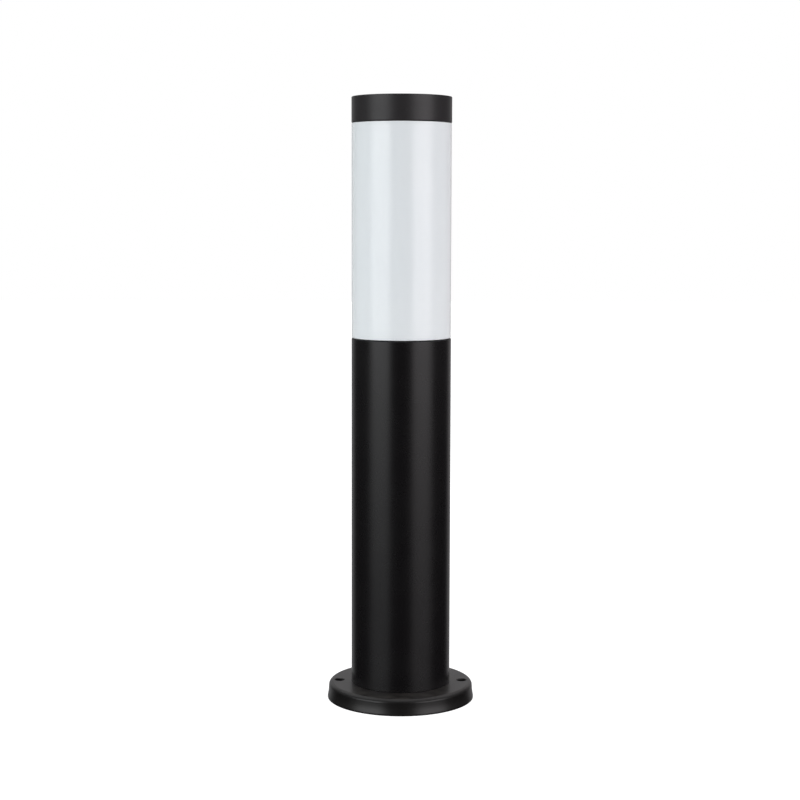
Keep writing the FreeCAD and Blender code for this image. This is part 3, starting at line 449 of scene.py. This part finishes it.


# Edge colours lighter than their finish are painted edge highlights as well as thin or rubbed finish;
# darker ones are wear and bare board edges.
FINISHES = {
    "powder_coated_post": black_coat("powder_coated_post", (0.0034, 0.0030, 0.0034), 0.27, 0.85,
                                     0.0045, 0.0, lines=0.004),
    "powder_coated_casting": black_coat("powder_coated_casting", (0.0038, 0.0034, 0.0032), 0.30, 1.1,
                                        0.010, 0.03),
    "powder_coated_cap": black_coat("powder_coated_cap", (0.0165, 0.0153, 0.0162), 0.36, 0.85, 0.005, 0.03),
    "opal_window": opal("opal_window", (0.822, 0.866, 0.878)),
    "black_seal": rubber("black_seal", (0.012, 0.012, 0.012)),
    "stainless_screws": bare_metal("stainless_screws", (0.60, 0.59, 0.58), 0.28),
    "black_nylon": moulded("black_nylon", (0.020, 0.020, 0.021), 0.42, edge_color=(0.06, 0.06, 0.06)),
    "zinc_sheet": surface("zinc_sheet", (0.56, 0.57, 0.59), (0.42, 0.44, 0.47), 0.38, spread=0.12,
                          grain=3.0, depth=0.004, drift=7.0, edge_color=(0.72, 0.73, 0.74),
                          Metallic=1.0),
    "white_enamel": surface("white_enamel", (0.66, 0.66, 0.64), (0.62, 0.62, 0.60), 0.28, grain=1.2,
                            depth=0.006, drift=18.0, edge_color=(0.62, 0.62, 0.60), edge=0.4,
                            dust=0.06),
    "white_nylon": moulded("white_nylon", (0.76, 0.75, 0.70), 0.45, Subsurface_Weight=0.1,
                           Subsurface_Radius=(0.002, 0.002, 0.0015), Subsurface_Scale=1.0),
    "cast_ring": surface("cast_ring", (0.50, 0.51, 0.52), (0.40, 0.41, 0.42), 0.48, spread=0.10,
                         grain=0.7, depth=0.015, drift=5.0, edge_color=(0.70, 0.71, 0.72),
                         marks=0.003, Metallic=1.0),
    "white_collar": moulded("white_collar", (0.66, 0.67, 0.66), 0.40),
    "brass": bare_metal("brass", (0.78, 0.58, 0.27), 0.27, stain=0.7),
    "tinned_copper": bare_metal("tinned_copper", (0.64, 0.63, 0.60), 0.34, marks=0.002, stain=0.75),
    "earth_insulation": lead_cover("earth_insulation", (0.22, 0.42, 0.05)),
    "live_insulation": lead_cover("live_insulation", (0.14, 0.055, 0.025)),
    "neutral_insulation": lead_cover("neutral_insulation", (0.030, 0.11, 0.36)),
    "porcelain": surface("porcelain", (0.66, 0.645, 0.60), (0.62, 0.60, 0.55), 0.16, spread=0.04,
                         grain=1.6, depth=0.010, drift=9.0, edge_color=(0.58, 0.55, 0.49), edge=0.4,
                         specks=(0.57, 0.54, 0.48), Coat_Weight=0.6, Coat_Roughness=0.08),
    "nickel_shell": bare_metal("nickel_shell", (0.70, 0.68, 0.63), 0.20, marks=0.003, stain=0.85),
    "black_glass": surface("black_glass", (0.012, 0.012, 0.014), (0.02, 0.02, 0.024), 0.10,
                           grain=0.8, depth=0.002, drift=3.0, edge_color=(0.05, 0.05, 0.06)),
    "lamp_plastic": moulded("lamp_plastic", (0.64, 0.64, 0.62), 0.34),
    "lamp_globe": surface("lamp_globe", (0.68, 0.68, 0.655), (0.65, 0.65, 0.62), 0.44, grain=0.3,
                          depth=0.003, drift=16.0, edge_color=(0.74, 0.74, 0.72), edge=0.4,
                          Subsurface_Weight=0.3, Subsurface_Radius=(0.003, 0.003, 0.0025),
                          Subsurface_Scale=1.0),
    "led_board": surface("led_board", (0.78, 0.79, 0.78), (0.70, 0.72, 0.71), 0.35, grain=0.4,
                         depth=0.002, drift=4.0, edge_color=(0.45, 0.40, 0.25)),
    "led_chips": surface("led_chips", (0.82, 0.62, 0.12), (0.74, 0.54, 0.08), 0.30, grain=0.3,
                         depth=0.003, drift=1.5, edge_color=(0.90, 0.88, 0.80), edge=0.7),
    "driver_board": surface("driver_board", (0.035, 0.16, 0.065), (0.025, 0.12, 0.05), 0.32,
                            grain=0.5, depth=0.004, drift=3.0, edge_color=(0.30, 0.28, 0.14)),
}


def finish_cad_nodes():
    """Gives every CAD node its procedural finish, by the slot that the record names."""
    for thing in frame["nodes"].values():
        slot = thing.data.materials[0].name.split(".")[0]
        thing.material_slots[0].link = "OBJECT"
        thing.material_slots[0].material = FINISHES[slot]


# ------------------------------------------------------------------ pieces
TUBE_WALL = 2.0 * MM
TUBE_EDGE = 0.3 * MM
PORT_INSET = 8.0 * MM  # the screw ports' axes, inward of the tube's bore
PORT_BORE = 1.97 * MM
PORT_WALL = 2.0 * MM
PORT_WEB = 3.0 * MM
PORT_TURNS = [math.radians(90 + 120 * i) for i in range(3)]

CAP_WALL = 2.0 * MM
CAP_PLATE = 2.2 * MM
CAP_EDGE = 0.45 * MM
CAP_BOSS_INSET = 12.5 * MM
CAP_BOSS_RADIUS = 4.5 * MM

WINDOW_WALL = 2.8 * MM
WINDOW_PLATE = 2.4 * MM
WINDOW_EDGE = 0.35 * MM
WINDOW_NECK_GAP = 0.1 * MM  # between the window's narrow top and the cap's bore
WINDOW_LIP = 1.3 * MM  # plain lips at the window's two ends, set off by a fine groove
LIP_GROOVE_WIDTH = 0.35 * MM
LIP_GROOVE_DEPTH = 0.12 * MM
SCREW_CLEARANCE = 2.2 * MM

GASKET_WIDTH = 4.9 * MM
SEAL_LIP = 0.28 * MM
SEAL_LIP_SHARE = 0.4  # the most of a seal's thickness that its rounded lip takes
CAP_GASKET_GAP = 0.05 * MM
O_RING_STEPS = 24
GROMMET_BORE = 6.2 * MM
GROMMET_WALL = 1.3 * MM
GROMMET_EDGE = 0.4 * MM
GLAND_SEAL_BORE = 4.0 * MM
GLAND_SEAL_EDGE = 0.5 * MM
WASHER_BORE = 2.1 * MM
WASHER_EDGE = 0.2 * MM

GLOBE_WALL = 1.2 * MM
GLOBE_STEPS = 40
HOUSING_WALL = 1.6 * MM
HOUSING_GAP = 0.5 * MM  # the lamp's shoulder, above its screw shell
HOUSING_BULGE = 1.2 * MM
HOUSING_NECK = 11.73 * MM
HOUSING_FOOT = 13.43 * MM
HOUSING_EDGE = 0.25 * MM
SWELL_STEPS = 24


def reach(name):
    """Outer radius, lowest and highest of a CAD node that is centred on the axis."""
    low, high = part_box(name)
    return high.x, low.z, high.z


def around(radius):
    """Centres of the three screw places on a circle about the axis."""
    return [(radius * math.cos(turn), radius * math.sin(turn)) for turn in PORT_TURNS]


def drill(bm, radius, low, high, centres):
    """Cuts upright round holes."""
    body = new_object(bm, "drilled")
    outline = [(0, low), (radius, low), (radius, high), (0, high)]
    pins = new_object(join(*[lathe(outline, SMALL_STEPS, centre) for centre in centres]), "pins")
    cut = body.modifiers.new("holes", "BOOLEAN")
    cut.operation = "DIFFERENCE"
    cut.solver = "EXACT"
    cut.object = pins
    holed = bmesh.new()
    holed.from_object(body, bpy.context.evaluated_depsgraph_get())
    for used in (body, pins):
        bpy.data.meshes.remove(used.data)
    return holed


def post_shell():
    """Extruded tube with its broken ends and the three screw ports along its bore."""
    radius, low, high = reach("post_tube")
    bore = radius - TUBE_WALL
    tube = soften(lathe([(radius, low), (radius, high), (bore, high), (bore, low)]), TUBE_EDGE)
    port_low = reach("base_flange")[2]
    port_high = reach("socket_ring")[1]
    port_radius = PORT_BORE + PORT_WALL
    outline = [(PORT_BORE, port_low), (port_radius, port_low), (port_radius, port_high),
               (PORT_BORE, port_high)]
    ports = [lathe(outline, SMALL_STEPS, centre) for centre in around(bore - PORT_INSET)]
    webs = []
    web_in = bore - PORT_INSET + port_radius - PORT_WALL / 2
    web_out = bore + TUBE_WALL / 2
    for turn in PORT_TURNS:
        web = bmesh.new()
        size = Matrix.Diagonal((web_out - web_in, PORT_WEB, port_high - port_low, 1.0))
        spot = Matrix.Translation(((web_in + web_out) / 2, 0, (port_low + port_high) / 2))
        bmesh.ops.create_cube(web, size=1.0, matrix=Matrix.Rotation(turn, 4, "Z") @ spot @ size)
        webs.append(web)
    add_piece(join(tube, *ports, *webs), "post_shell", "post_tube")


def cap_lid():
    """Flat lid with a crisp rolled edge, a short skirt and three screw bosses inside."""
    radius, low, high = reach("top_cap")
    bore = radius - CAP_WALL
    ceiling = high - CAP_PLATE
    lid = lathe([(0, ceiling), (bore, ceiling), (bore, low), (radius, low), (radius, high), (0, high)])
    soften(lid, CAP_EDGE, SOFT_EDGE_SEGMENTS)
    boss_low = reach("diffuser")[2]
    boss_high = ceiling + CAP_PLATE / 2
    outline = [(PORT_BORE, boss_low), (CAP_BOSS_RADIUS, boss_low), (CAP_BOSS_RADIUS, boss_high),
               (PORT_BORE, boss_high)]
    bosses = [lathe(outline, SMALL_STEPS, centre) for centre in around(bore - CAP_BOSS_INSET)]
    add_piece(join(lid, *bosses), "cap_lid", "top_cap")


def lip_groove(radius, height):
    """Points of a fine V-shaped groove round a cylinder."""
    half = LIP_GROOVE_WIDTH / 2
    return [(radius, height - half), (radius - LIP_GROOVE_DEPTH, height), (radius, height + half)]


def opal_window():
    """Milky cylinder with a closed, narrower top that the cap is screwed to."""
    radius, low, high = reach("diffuser")
    bore = radius - WINDOW_WALL
    shoulder = reach("cap_seal")[1]
    neck = reach("top_cap")[0] - CAP_WALL - WINDOW_NECK_GAP
    window = lathe([(0, high - WINDOW_PLATE), (bore, high - WINDOW_PLATE), (bore, low), (radius, low)]
                   + lip_groove(radius, low + WINDOW_LIP) + lip_groove(radius, shoulder - WINDOW_LIP)
                   + [(radius, shoulder), (neck, shoulder), (neck, high), (0, high)])
    soften(window, WINDOW_EDGE)
    screw_circle = reach("top_cap")[0] - CAP_WALL - CAP_BOSS_INSET
    window = drill(window, SCREW_CLEARANCE, high - 2 * WINDOW_PLATE, high + WINDOW_PLATE,
                   around(screw_circle))
    add_piece(window, "opal_window", "diffuser")


def flat_gasket(name, cad_node, bore):
    """Rubber ring with a rounded lip."""
    radius, low, high = reach(cad_node)
    ring = lathe([(bore, low), (radius, low), (radius, high), (bore, high)])
    add_piece(soften(ring, min(SEAL_LIP, SEAL_LIP_SHARE * (high - low))), name, cad_node)


def o_ring():
    """Round-section ring in the spigot's groove."""
    radius, low, high = reach("spigot_o_ring")
    half = (high - low) / 2
    section = outline_arc((radius - half, (low + high) / 2), half, 0, 360, O_RING_STEPS)[:-1]
    add_piece(lathe(section), "o_ring", "spigot_o_ring")


def wire_grommet():
    """Rubber grommet gripping the bulkhead's edge."""
    radius, low, high = reach("wire_grommet")
    plate_low, plate_high = reach("bulkhead")[1:]
    groove = GROMMET_BORE + GROMMET_WALL
    grommet = lathe([(GROMMET_BORE, low), (radius, low), (radius, plate_low), (groove, plate_low),
                     (groove, plate_high), (radius, plate_high), (radius, high), (GROMMET_BORE, high)],
                    SMALL_STEPS)
    add_piece(soften(grommet, GROMMET_EDGE, SOFT_EDGE_SEGMENTS), "rubber_grommet", "wire_grommet")


def gland_rubber():
    """Sleeve that the gland squeezes round a cable."""
    radius, low, high = reach("gland_seal")
    sleeve = lathe([(GLAND_SEAL_BORE, low), (radius, low), (radius, high), (GLAND_SEAL_BORE, high)],
                   SMALL_STEPS)
    add_piece(soften(sleeve, GLAND_SEAL_EDGE, SOFT_EDGE_SEGMENTS), "gland_rubber", "gland_seal")


def cap_washers():
    """Three rubber washers under the cap screws' heads."""
    low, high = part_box("cap_screw_washers")
    circle = reach("top_cap")[0] - CAP_WALL - CAP_BOSS_INSET
    washer_radius = high.y - circle
    outline = [(WASHER_BORE, low.z), (washer_radius, low.z), (washer_radius, high.z), (WASHER_BORE, high.z)]
    washers = [soften(lathe(outline, SMALL_STEPS, centre), WASHER_EDGE) for centre in around(circle)]
    add_piece(join(*washers), "cap_washers", "cap_screw_washers")


def frosted_globe():
    """Frosted globe of the lamp, open where it is bonded to the housing."""
    low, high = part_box("lamp_globe")
    radius = high.x
    middle = high.z - radius
    drop = math.degrees(math.asin((middle - low.z) / radius))
    inner = radius - GLOBE_WALL
    inner_drop = math.degrees(math.asin((middle - low.z) / inner))
    outline = outline_arc((0, middle), radius, -drop, 90, GLOBE_STEPS)[:-1] + [(0, high.z)]
    inside = outline_arc((0, middle), inner, 90, -inner_drop, GLOBE_STEPS)[1:]
    outline = [(0, high.z - GLOBE_WALL)] + inside + outline
    add_piece(lathe(outline, LAMP_STEPS), "frosted_globe", "lamp_globe")


def lamp_body():
    """Moulded housing of the lamp: neck, swelling body and the seat of the globe."""
    low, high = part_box("lamp_housing")
    globe_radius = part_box("lamp_globe")[1].x
    globe_low, globe_high = reach("lamp_globe")[1:]
    rim = math.sqrt(globe_radius ** 2 - (globe_high - globe_radius - globe_low) ** 2)
    neck, foot = HOUSING_NECK, HOUSING_FOOT
    shoulder = reach("lamp_screw_shell")[2] + HOUSING_GAP
    board_low = reach("lamp_led_board")[1]
    swell = [(foot, shoulder)]
    for step in range(1, SWELL_STEPS):
        share = step / SWELL_STEPS
        bulge = HOUSING_BULGE * 4 * share * (1 - share)
        swell.append((foot + (rim - foot) * share + bulge, shoulder + (high.z - shoulder) * share))
    inner = rim - HOUSING_WALL
    outline = ([(neck - HOUSING_WALL, low.z), (neck, low.z), (neck, shoulder)] + swell
               + [(rim, high.z), (inner, high.z), (inner, board_low), (inner - HOUSING_WALL, board_low),
                  (inner - HOUSING_WALL, board_low - HOUSING_WALL),
                  (neck - HOUSING_WALL, shoulder + HOUSING_WALL)])
    add_piece(soften(lathe(outline, LAMP_STEPS), HOUSING_EDGE), "lamp_body", "lamp_housing")


def build_pieces():
    post_shell()
    cap_lid()
    opal_window()
    flat_gasket("head_gasket", "head_seal", reach("head_seal")[0] - GASKET_WIDTH)
    flat_gasket("cap_gasket", "cap_seal", reach("top_cap")[0] - CAP_WALL - CAP_GASKET_GAP)
    o_ring()
    wire_grommet()
    gland_rubber()
    cap_washers()
    frosted_globe()
    lamp_body()


# ------------------------------------------------------------------ studio
def studio_camera():
    camera = bpy.data.objects.new("camera", bpy.data.cameras.new("camera"))
    bpy.context.scene.collection.objects.link(camera)
    camera.data.lens = CAMERA_LENS
    camera.data.sensor_width = CAMERA_SENSOR
    camera.data.shift_y = CAMERA_SHIFT
    turn = Matrix.Rotation(CAMERA_TURN, 4, "Z")
    pitch = Matrix.Rotation(math.pi / 2 - CAMERA_PITCH, 4, "X")
    roll = Matrix.Rotation(CAMERA_ROLL, 4, "Z")
    camera.matrix_world = Matrix.Translation((0, -CAMERA_DISTANCE, CAMERA_HEIGHT)) @ turn @ pitch @ roll
    bpy.context.scene.camera = camera


def studio_light():
    """Soft light: two tall fields in front, a high one at each side, a pale wall behind, a panel above."""
    world = bpy.data.worlds.new("studio")
    bpy.context.scene.world = world
    world.use_nodes = True
    tree = world.node_tree
    tree.nodes.clear()
    way = node(tree, "ShaderNodeSeparateXYZ",
               Vector=node(tree, "ShaderNodeTexCoord").outputs["Generated"]).outputs
    aside = math_node(tree, "ABSOLUTE", way["X"])
    towards_camera = math_node(tree, "MULTIPLY", way["Y"], -1.0)
    round_from_front = math_node(tree, "DIVIDE", math_node(tree, "ARCTAN2", aside, towards_camera), math.pi)
    height = way["Z"]
    front = math_node(tree, "MULTIPLY", ramp(tree, round_from_front, FRONT_LIGHT),
                      mapped(tree, height, *FRONT_TOP_FADE, 1.0, 0.0))
    back = math_node(tree, "MULTIPLY", ramp(tree, round_from_front, BACK_LIGHT),
                     mapped(tree, height, *BACK_TOP_FADE, 1.0, 0.0))
    side = ramp(tree, round_from_front, SIDE_LIGHT)
    rise = mapped(tree, height, *FRONT_FADE, FRONT_FLOOR_SHARE * FRONT_STRENGTH, FRONT_STRENGTH)
    fall = mapped(tree, height, *BACK_FADE, BACK_STRENGTH, BACK_HIGH_SHARE * BACK_STRENGTH)
    ground = mapped(tree, height, *FLOOR_FADE, FLOOR_STRENGTH, 0.0)
    overhead = math_node(tree, "MULTIPLY_ADD", side, mapped(tree, height, *SIDE_FADE, 0.0, SIDE_STRENGTH),
                         mapped(tree, height, *TOP_FADE, 0.0, TOP_STRENGTH))
    rays = node(tree, "ShaderNodeLightPath").outputs
    scrim = mapped(tree, rays["Is Glossy Ray"], 0.0, 1.0, 1.0, OVERHEAD_GLOSS)
    light = math_node(tree, "MULTIPLY_ADD", front, rise, ground)
    light = math_node(tree, "MULTIPLY_ADD", back, fall, light)
    light = math_node(tree, "MULTIPLY_ADD", overhead, scrim, light)
    tint = mixed(tree, mapped(tree, way["X"], *TINT_FADE), LEFT_TINT, RIGHT_TINT)
    lit = node(tree, "ShaderNodeBackground", Color=tint, Strength=light)
    pale = node(tree, "ShaderNodeBackground", Color=WHITE, Strength=1.0)
    both = tree.nodes.new("ShaderNodeMixShader")
    plug(tree, rays["Is Camera Ray"], both.inputs[0])
    plug(tree, lit.outputs[0], both.inputs[1])
    plug(tree, pale.outputs[0], both.inputs[2])
    out = tree.nodes.new("ShaderNodeOutputWorld")
    plug(tree, both.outputs[0], out.inputs["Surface"])


def studio_floor():
    """Pale seamless floor. It takes the object's soft shadow but throws no light back."""
    bm = bmesh.new()
    bmesh.ops.create_grid(bm, x_segments=2, y_segments=2, size=FLOOR_SIZE)
    floor = new_object(bm, "floor")
    material = bpy.data.materials.new("pale_floor")
    material.use_nodes = True
    tree = material.node_tree
    tree.nodes.remove(tree.nodes["Principled BSDF"])
    matt = node(tree, "ShaderNodeBsdfDiffuse", Color=FLOOR_COLOR)
    glow = node(tree, "ShaderNodeEmission", Color=WHITE, Strength=1.0)
    both = node(tree, "ShaderNodeMixShader", Fac=FLOOR_GLOW)
    plug(tree, matt.outputs[0], both.inputs[1])
    plug(tree, glow.outputs[0], both.inputs[2])
    plug(tree, both.outputs[0], tree.nodes["Material Output"].inputs["Surface"])
    floor.data.materials.append(material)
    floor.visible_diffuse = False
    floor.visible_glossy = False
    floor.visible_shadow = False


bpy.context.scene.view_settings.view_transform = "Standard"
studio_camera()
studio_light()
studio_floor()
finish_cad_nodes()
build_pieces()
